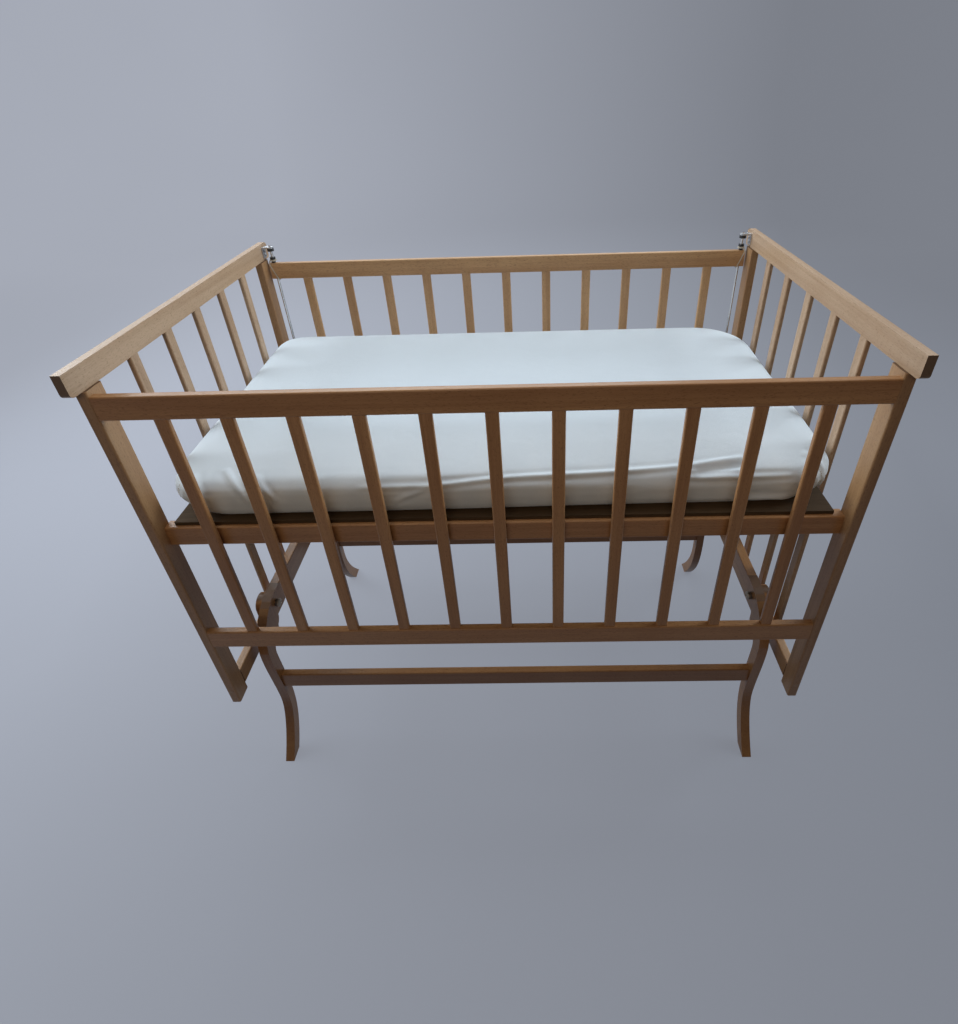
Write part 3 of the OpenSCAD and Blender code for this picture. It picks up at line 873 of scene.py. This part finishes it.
class CRADLE_OT_wood(bpy.types.Operator):
    """Finish every beech bar, with the grain along it"""

    bl_idname = "cradle.wood"
    bl_label = "Finish the wood"

    def execute(self, context):
        settings = context.scene.cradle_wood
        # Each tone is its own copy of the beech; the pale and deep copies carry painted light and
        # painted shade
        for tone, bars in BARS.items():
            for grain, names in bars.items():
                light = getattr(settings, tone)
                paint(names, beech(f"beech_{tone}_{grain}", grain, light, settings))
        paint(["base_board"], plywood("bare_plywood"))
        return {"FINISHED"}


class CRADLE_OT_hardware(bpy.types.Operator):
    """Finish the bolts, rods, brackets and bushes"""

    bl_idname = "cradle.hardware"
    bl_label = "Finish the hardware"

    def execute(self, context):
        paint(["guide_rods"], metal("drawn_steel", (0.80, 0.80, 0.80), (900.0, 900.0, 70.0), 0.06))
        paint(["upper_pivot_bolts", "lower_pivot_bolts", "stand_bolts"],
              metal("browned_steel", (0.26, 0.22, 0.18), 700.0, 0.26))
        paint(["rod_brackets"], metal("zinc_sheet", (0.66, 0.67, 0.69), 260.0, 0.24))
        paint(["stop_rings", "slide_bushes"], black_plastic("moulded_black"))
        return {"FINISHED"}


class CRADLE_OT_mattress(bpy.types.Operator):
    """Make the mattress in its fitted sheet"""

    bl_idname = "cradle.mattress"
    bl_label = "Make the mattress"

    def execute(self, context):
        settings = context.scene.cradle_sheet
        obj = new_object("mattress_in_sheet", mattress_shell(0.001))
        remeshed(obj, settings.voxel)
        simulate(obj, settings)
        smooth = obj.modifiers.new("Ease", "SMOOTH")
        smooth.factor = 0.4
        smooth.iterations = 2
        finer = obj.modifiers.new("Finer", "SUBSURF")
        finer.levels = finer.render_levels = 1
        applied(obj)
        points, normals = places(obj.data), places(obj.data, normals=True)
        tree = surface_tree(obj.data)
        for line, width, rise in FOLDS:
            fold(points, normals, tree, line, width, rise)
        obj.data.vertices.foreach_set("co", keep_in_box(points).ravel())
        obj.data.update()
        run_attribute(obj.data)
        obj.data.materials.clear()
        obj.data.materials.append(cotton("cotton_sheet", settings))
        obj.data.polygons.foreach_set("use_smooth", [True] * len(obj.data.polygons))
        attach(obj, "cradle")
        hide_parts("mattress")
        return {"FINISHED"}


# Stitches in each corner seam, from the lowest up: their number, height, step and length
SEAM = 17
SEAM_START = 0.008
SEAM_STEP = 0.0028
STITCH = 0.0022


class CRADLE_OT_stitches(bpy.types.Operator):
    """Sew the corner seams of the sheet"""

    bl_idname = "cradle.stitches"
    bl_label = "Sew the corner seams"

    def execute(self, context):
        sheet = bpy.data.objects["mattress_in_sheet"]
        tree = surface_tree(sheet.data)
        middle = centre("mattress")
        half = (MATTRESS[1] - MATTRESS[0]) / 2
        spots = []
        for sx in (-1, 1):
            for sy in (-1, 1):
                corner = middle + Vector((sx * (half.x + 0.01), sy * (half.y + 0.01), 0))
                for k in range(SEAM):
                    corner.z = MATTRESS[0].z + SEAM_START + SEAM_STEP * k
                    place, facing = tree.ray_cast(corner, Vector((-sx, -sy, 0)).normalized())[:2]
                    if place is None:
                        raise RuntimeError("a corner seam missed the sheet")
                    spots.append((place + facing * 0.0001, facing))
        shape = head_mesh("stitch_shape", ((0.5, 0.0), (0.42, 0.18), (0.2, 0.28), (0.02, 0.3)),
                          no_recess, 8)
        for v in shape.vertices:
            v.co.x *= 0.28
        finish = cotton_cord("sewing_cotton")
        obj = copies("sheet_seams", shape, spots, STITCH, finish, 1)
        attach(obj, "cradle")
        return {"FINISHED"}


# Radii of the guide rod and of the bush's neck, and the cord's turns per metre and step
ROD_RADIUS = 0.0025
NECK_RADIUS = 0.004
CORD_TURNS = 210
CORD_STEP = 0.0012


class CRADLE_OT_ties(bpy.types.Operator):
    """Lay the two cotton ties from the bush collars round the sliding side's top rail"""

    bl_idname = "cradle.ties"
    bl_label = "Lay the ties"

    def execute(self, context):
        settings = context.scene.cradle_fittings
        # Just under the collar of the bush
        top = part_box("ties")[1].z - 0.0012
        rail_lo, rail_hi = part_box("slide_rail_top")
        rod_lo, rod_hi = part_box("guide_rods")
        finish = cotton_cord("natural_cotton")
        radius = settings.strand / 2
        rod_x = (rod_hi.x - rod_lo.x) / 2 - ROD_RADIUS
        rod_y = centre("guide_rods").y
        face = (rail_hi.y - rail_lo.y) / 2 + 2 * radius + 0.0001
        neck = NECK_RADIUS + 2 * radius
        low_z = rail_lo.z - 2 * radius
        paths = []
        for sx in (-1, 1):
            def spot(inward, y, z):
                return Vector((sx * (rod_x - inward), rod_y + y, z))

            # Down the face from outside the neck, under the rail and up behind it
            loop = [spot(-0.0040, -0.0034, top)]
            for side in (-1, 1):
                run = [spot(-0.0064, side * face, rail_hi.z - 0.0005),
                       spot(-0.0030, side * (face + 0.0002), rail_hi.z - 0.012),
                       spot(0.0012, side * face, rail_lo.z + 0.010),
                       spot(0.0048, side * face, rail_lo.z + 0.001),
                       spot(0.0052, side * (face - 0.003), low_z)]
                loop += run if side < 0 else run[::-1]
            loop.append(spot(-0.0040, 0.0034, top))
            # The cord is hitched twice round the neck of the bush, under its collar
            hitch = []
            for k in range(50):
                turn = 2 * math.pi * k / 24 + math.pi / 2
                hitch.append(spot(
                    neck * math.cos(turn), neck * math.sin(turn), top - 0.0026 * k / 49))
            for line, fine in ((loop, 6), (hitch, 3)):
                line = resampled(smooth_path(line, fine), CORD_STEP)
                paths += twisted(line, radius, CORD_TURNS)
        obj = strands("tie_cords", paths, settings.strand, finish)
        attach(obj, "sliding_side")
        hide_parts("ties")
        return {"FINISHED"}


class CRADLE_OT_fasteners(bpy.types.Operator):
    """Set the bracket screws, bolt caps and wood plugs"""

    bl_idname = "cradle.fasteners"
    bl_label = "Set the fasteners"

    def execute(self, context):
        settings = context.scene.cradle_fittings
        steel = metal("screw_steel", (0.58, 0.57, 0.55), 700.0, 0.22)
        brown = metal("browned_caps", (0.32, 0.27, 0.22), 700.0, 0.24)
        pan = head_mesh("pan_shape", (
            (0.50, 0.0), (0.50, 0.10), (0.46, 0.21), (0.38, 0.28), (0.30, 0.315), (0.295, 0.318),
            (0.22, 0.33), (0.14, 0.335), (0.07, 0.338), (0.02, 0.34)), cross_recess)
        dome = head_mesh("dome_shape", (
            (0.50, 0.0), (0.50, 0.06), (0.475, 0.12), (0.42, 0.19), (0.34, 0.245), (0.26, 0.27),
            (0.19, 0.28), (0.155, 0.282), (0.10, 0.284), (0.02, 0.284)), hex_recess, 36)
        plug = head_mesh("plug_shape", (
            (0.50, 0.0), (0.485, 0.018), (0.44, 0.028), (0.25, 0.034), (0.02, 0.036)),
            no_recess, 24)
        # Two screws hold each bracket strap
        lo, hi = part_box("rod_brackets")
        spots = []
        rail_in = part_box("end_rail_top_right")[0].x
        post_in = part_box("post_back_right")[0].x
        rod_y = centre("guide_rods").y
        for face, y, heights in (
            (rail_in, rod_y + 0.0004, (hi.z - 0.0095, hi.z - 0.0175)),
            (post_in, rod_y - 0.0055, (lo.z + 0.0090, lo.z + 0.0175)),
        ):
            spots += [(Vector((sx * (face - 0.002), y, z)), (-sx, 0, 0))
                      for sx in (-1, 1) for z in heights]
        obj = copies("bracket_screws", pan, spots, settings.screw, steel, settings.seed)
        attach(obj, "cradle")
        # Domed caps on the raised heads inside the legs
        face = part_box("stand_leg_front_right")[0].x - 0.005
        pivot_z = centre("upper_pivot_bolts").z
        pivot_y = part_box("upper_pivot_bolts")[1].y - 0.008
        spots = [(Vector((sx * face, sy * pivot_y, pivot_z)), (-sx, 0, 0))
                 for sx in (-1, 1) for sy in (-1, 1)]
        obj = copies("pivot_caps", dome, spots, settings.cap, brown, settings.seed)
        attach(obj, "stand")
        # Plugs over the screws that hold the rails between the posts
        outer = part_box("post_front_right")[1].x
        spots = []
        for name in ("front_rail_top", "front_rail_low", "front_ledge", "back_ledge"):
            at = centre(name)
            spots += [(Vector((sx * outer, at.y, at.z)), (sx, 0, 0)) for sx in (-1, 1)]
        low_z = centre("end_rail_low_right").z
        for end in ENDS:
            for side, sy in (("front", -1), ("back", 1)):
                lo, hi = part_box(f"post_{side}_{end}")
                place = ((lo.x + hi.x) / 2, hi.y if sy > 0 else lo.y, low_z)
                spots.append((Vector(place), (0, sy, 0)))
        finish = plug_wood("beech_plug", context.scene.cradle_wood)
        obj = copies("wood_plugs", plug, spots, settings.plug, finish, settings.seed)
        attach(obj, "cradle")
        return {"FINISHED"}


# The stage: a flat round floor, the curve up into its wall, and the wall's top
FLOOR_RADIUS = 4.6
CURVE_RADIUS = 1.6
WALL_TOP = 5.0
CURVE_STEPS = 12
STAGE_SIDES = 96


class CRADLE_OT_stage(bpy.types.Operator):
    """Set the floor, backdrop, lights and camera"""

    bl_idname = "cradle.stage"
    bl_label = "Set the stage"

    def execute(self, context):
        settings = context.scene.cradle_stage
        floor = self.backdrop(settings)
        self.lights(context, settings)
        self.camera(context)
        context.scene.view_settings.view_transform = "Standard"
        return {"FINISHED"}

    def backdrop(self, settings):
        """A round floor that curves up into a wall on every side."""
        profile = [(r, 0.0) for r in (0.02, 1.5, 3.0, FLOOR_RADIUS)]
        for k in range(1, CURVE_STEPS + 1):
            turn = math.radians(90 * k / CURVE_STEPS)
            profile.append((FLOOR_RADIUS + CURVE_RADIUS * math.sin(turn),
                            CURVE_RADIUS - CURVE_RADIUS * math.cos(turn)))
        profile.append((FLOOR_RADIUS + CURVE_RADIUS, WALL_TOP))
        rings = [[(x, y, z) for x, y in circle(r, STAGE_SIDES)] for r, z in profile]
        material, n, place = new_material("pale_floor")
        cloud = n.noise(place, 0.8)
        colour = n.mix(cloud, settings.floor, times(settings.floor, 0.93))
        # Painted light: the pale colour that the floor shows and glows with falls off from left to
        # right and towards the front, as by a window
        split = n.add("ShaderNodeSeparateXYZ", {"Vector": place}).outputs
        depth = n.math("ADD", n.math("ABSOLUTE", split["Y"]), FLOOR_RADIUS)
        painted_falloff = n.add("ShaderNodeMapRange", {
            "Value": n.math("DIVIDE", split["X"], depth),
            "From Min": -0.26, "From Max": 0.26}).outputs[0]
        pale = settings.backdrop
        seen_colour = n.mix(painted_falloff, times(pale, 1.48), times(pale, 0.74))
        front = n.add("ShaderNodeMapRange", {
            "Value": split["Y"], "From Min": -0.8, "From Max": 3.2,
            "To Min": 0.70, "To Max": 1.0}).outputs[0]
        seen_colour = n.mix(1.0, seen_colour, front, blend="MULTIPLY")
        seen_colour = n.mix(n.math("MULTIPLY", cloud, 0.15), seen_colour, pale)
        path = n.add("ShaderNodeLightPath").outputs
        seen = n.math("MAXIMUM", path["Is Camera Ray"], path["Is Glossy Ray"])
        seen = n.math("MAXIMUM", seen, path["Is Transmission Ray"])
        diffuse = n.add("ShaderNodeBsdfDiffuse", {"Color": n.mix(seen, colour, seen_colour)})
        glow = n.add("ShaderNodeEmission", {"Color": seen_colour})
        shared = n.add("ShaderNodeMixShader", {"Fac": n.math("MULTIPLY", seen, 0.68)})
        n.tree.links.new(diffuse.outputs[0], shared.inputs[1])
        n.tree.links.new(glow.outputs[0], shared.inputs[2])
        n.add("ShaderNodeOutputMaterial", {"Surface": shared.outputs[0]})
        mesh = ring_mesh("floor", rings, cap_end=False)
        mesh.flip_normals()
        return new_object("floor", mesh, material)

    def lights(self, context, settings):
        """Broad soft lights above, on each side and behind, and a weak one in front."""
        cool, warm = (0.88, 0.95, 1.0), (1.0, 0.84, 0.69)
        for name, place, aim, width, height, power, colour in (
            ("key_light", (0.0, 0.65, 2.0), (0.0, 0.6501, 0.0), 3.0, 1.8, settings.key, cool),
            ("left_light", (-2.2, 0.6, 1.7), (0.5, 0.3, 0.8), 1.2, 1.6, settings.left, cool),
            ("right_light", (2.2, 0.6, 1.7), (-0.5, 0.3, 0.8), 1.2, 1.6, settings.right, cool),
            ("fill_light", (-0.2, -1.7, 1.8), (0.0, -0.2, 0.9), 1.4, 0.8, settings.fill, warm),
            ("back_light", (-0.8, 2.3, 2.5), (-0.1, 0.0, 0.9), 4.0, 0.9, settings.back, cool),
        ):
            data = bpy.data.lights.new(name, "AREA")
            data.shape = "RECTANGLE"
            data.size, data.size_y = width, height
            data.energy = power
            data.color = colour
            lamp = bpy.data.objects.new(name, data)
            lamp.location = place
            facing = Vector(aim) - Vector(place)
            lamp.rotation_euler = facing.to_track_quat("-Z", "Y").to_euler()
            context.scene.collection.objects.link(lamp)
        world = bpy.data.worlds.new("pale_sky")
        world.use_nodes = True
        world.node_tree.nodes.clear()
        n = Nodes(world.node_tree)
        sky = n.add("ShaderNodeBackground", {
            "Color": (1.0, 0.93, 0.85, 1.0), "Strength": settings.sky})
        n.add("ShaderNodeOutputWorld", {"Surface": sky.outputs[0]})
        context.scene.world = world

    def camera(self, context):
        """The photograph's own camera, solved from the straight edges of the cradle."""
        yaw, pitch, roll = (math.radians(a) for a in (-1.34169, -30.4578, -1.96870))
        level = math.cos(pitch)
        forward = Vector((math.sin(yaw) * level, math.cos(yaw) * level, math.sin(pitch)))
        right = Vector((math.cos(yaw), -math.sin(yaw), 0.0))
        up = right.cross(forward)
        turned = right * math.cos(roll) + up * math.sin(roll)
        tilted = -right * math.sin(roll) + up * math.cos(roll)
        data = bpy.data.cameras.new("photo_camera")
        data.lens = 19.2954
        data.sensor_width = 36.0
        data.shift_x = -0.04297
        data.shift_y = -0.1162
        data.clip_start = 0.02
        camera = bpy.data.objects.new("photo_camera", data)
        turn = Matrix((turned, tilted, -forward)).transposed().to_4x4()
        camera.matrix_world = Matrix.Translation((0.05392, -0.85814, 1.23988)) @ turn
        context.scene.collection.objects.link(camera)
        context.scene.camera = camera


class CRADLE_PT_parts(bpy.types.Panel):
    """Lists the steps that dress the cradle"""

    bl_label = "Cradle"
    bl_idname = "CRADLE_PT_parts"
    bl_space_type = "VIEW_3D"
    bl_region_type = "UI"
    bl_category = "Cradle"

    def draw(self, context):
        for step in STEPS:
            self.layout.operator(step.bl_idname)
        for group in ("cradle_wood", "cradle_sheet", "cradle_fittings", "cradle_stage"):
            settings = getattr(context.scene, group)
            for name in settings.__annotations__:
                self.layout.prop(settings, name)


SETTINGS = {
    "cradle_wood": WoodSettings,
    "cradle_sheet": SheetSettings,
    "cradle_fittings": FittingSettings,
    "cradle_stage": StageSettings,
}
STEPS = (
    CRADLE_OT_stage,
    CRADLE_OT_wood,
    CRADLE_OT_hardware,
    CRADLE_OT_mattress,
    CRADLE_OT_stitches,
    CRADLE_OT_ties,
    CRADLE_OT_fasteners,
)


def register():
    """Registers the settings, the steps and the panel."""
    for kind in (*SETTINGS.values(), *STEPS, CRADLE_PT_parts):
        bpy.utils.register_class(kind)
    for name, kind in SETTINGS.items():
        setattr(bpy.types.Scene, name, bpy.props.PointerProperty(type=kind))


def unregister():
    """Takes it all out again."""
    for name in SETTINGS:
        delattr(bpy.types.Scene, name)
    for kind in (CRADLE_PT_parts, *reversed(STEPS), *reversed(SETTINGS.values())):
        bpy.utils.unregister_class(kind)


def main():
    """Dresses the cradle."""
    register()
    bpy.ops.cradle.stage()
    bpy.ops.cradle.wood()
    bpy.ops.cradle.hardware()
    bpy.ops.cradle.mattress()
    bpy.ops.cradle.stitches()
    bpy.ops.cradle.ties()
    bpy.ops.cradle.fasteners()


if __name__ == "__main__":
    main()
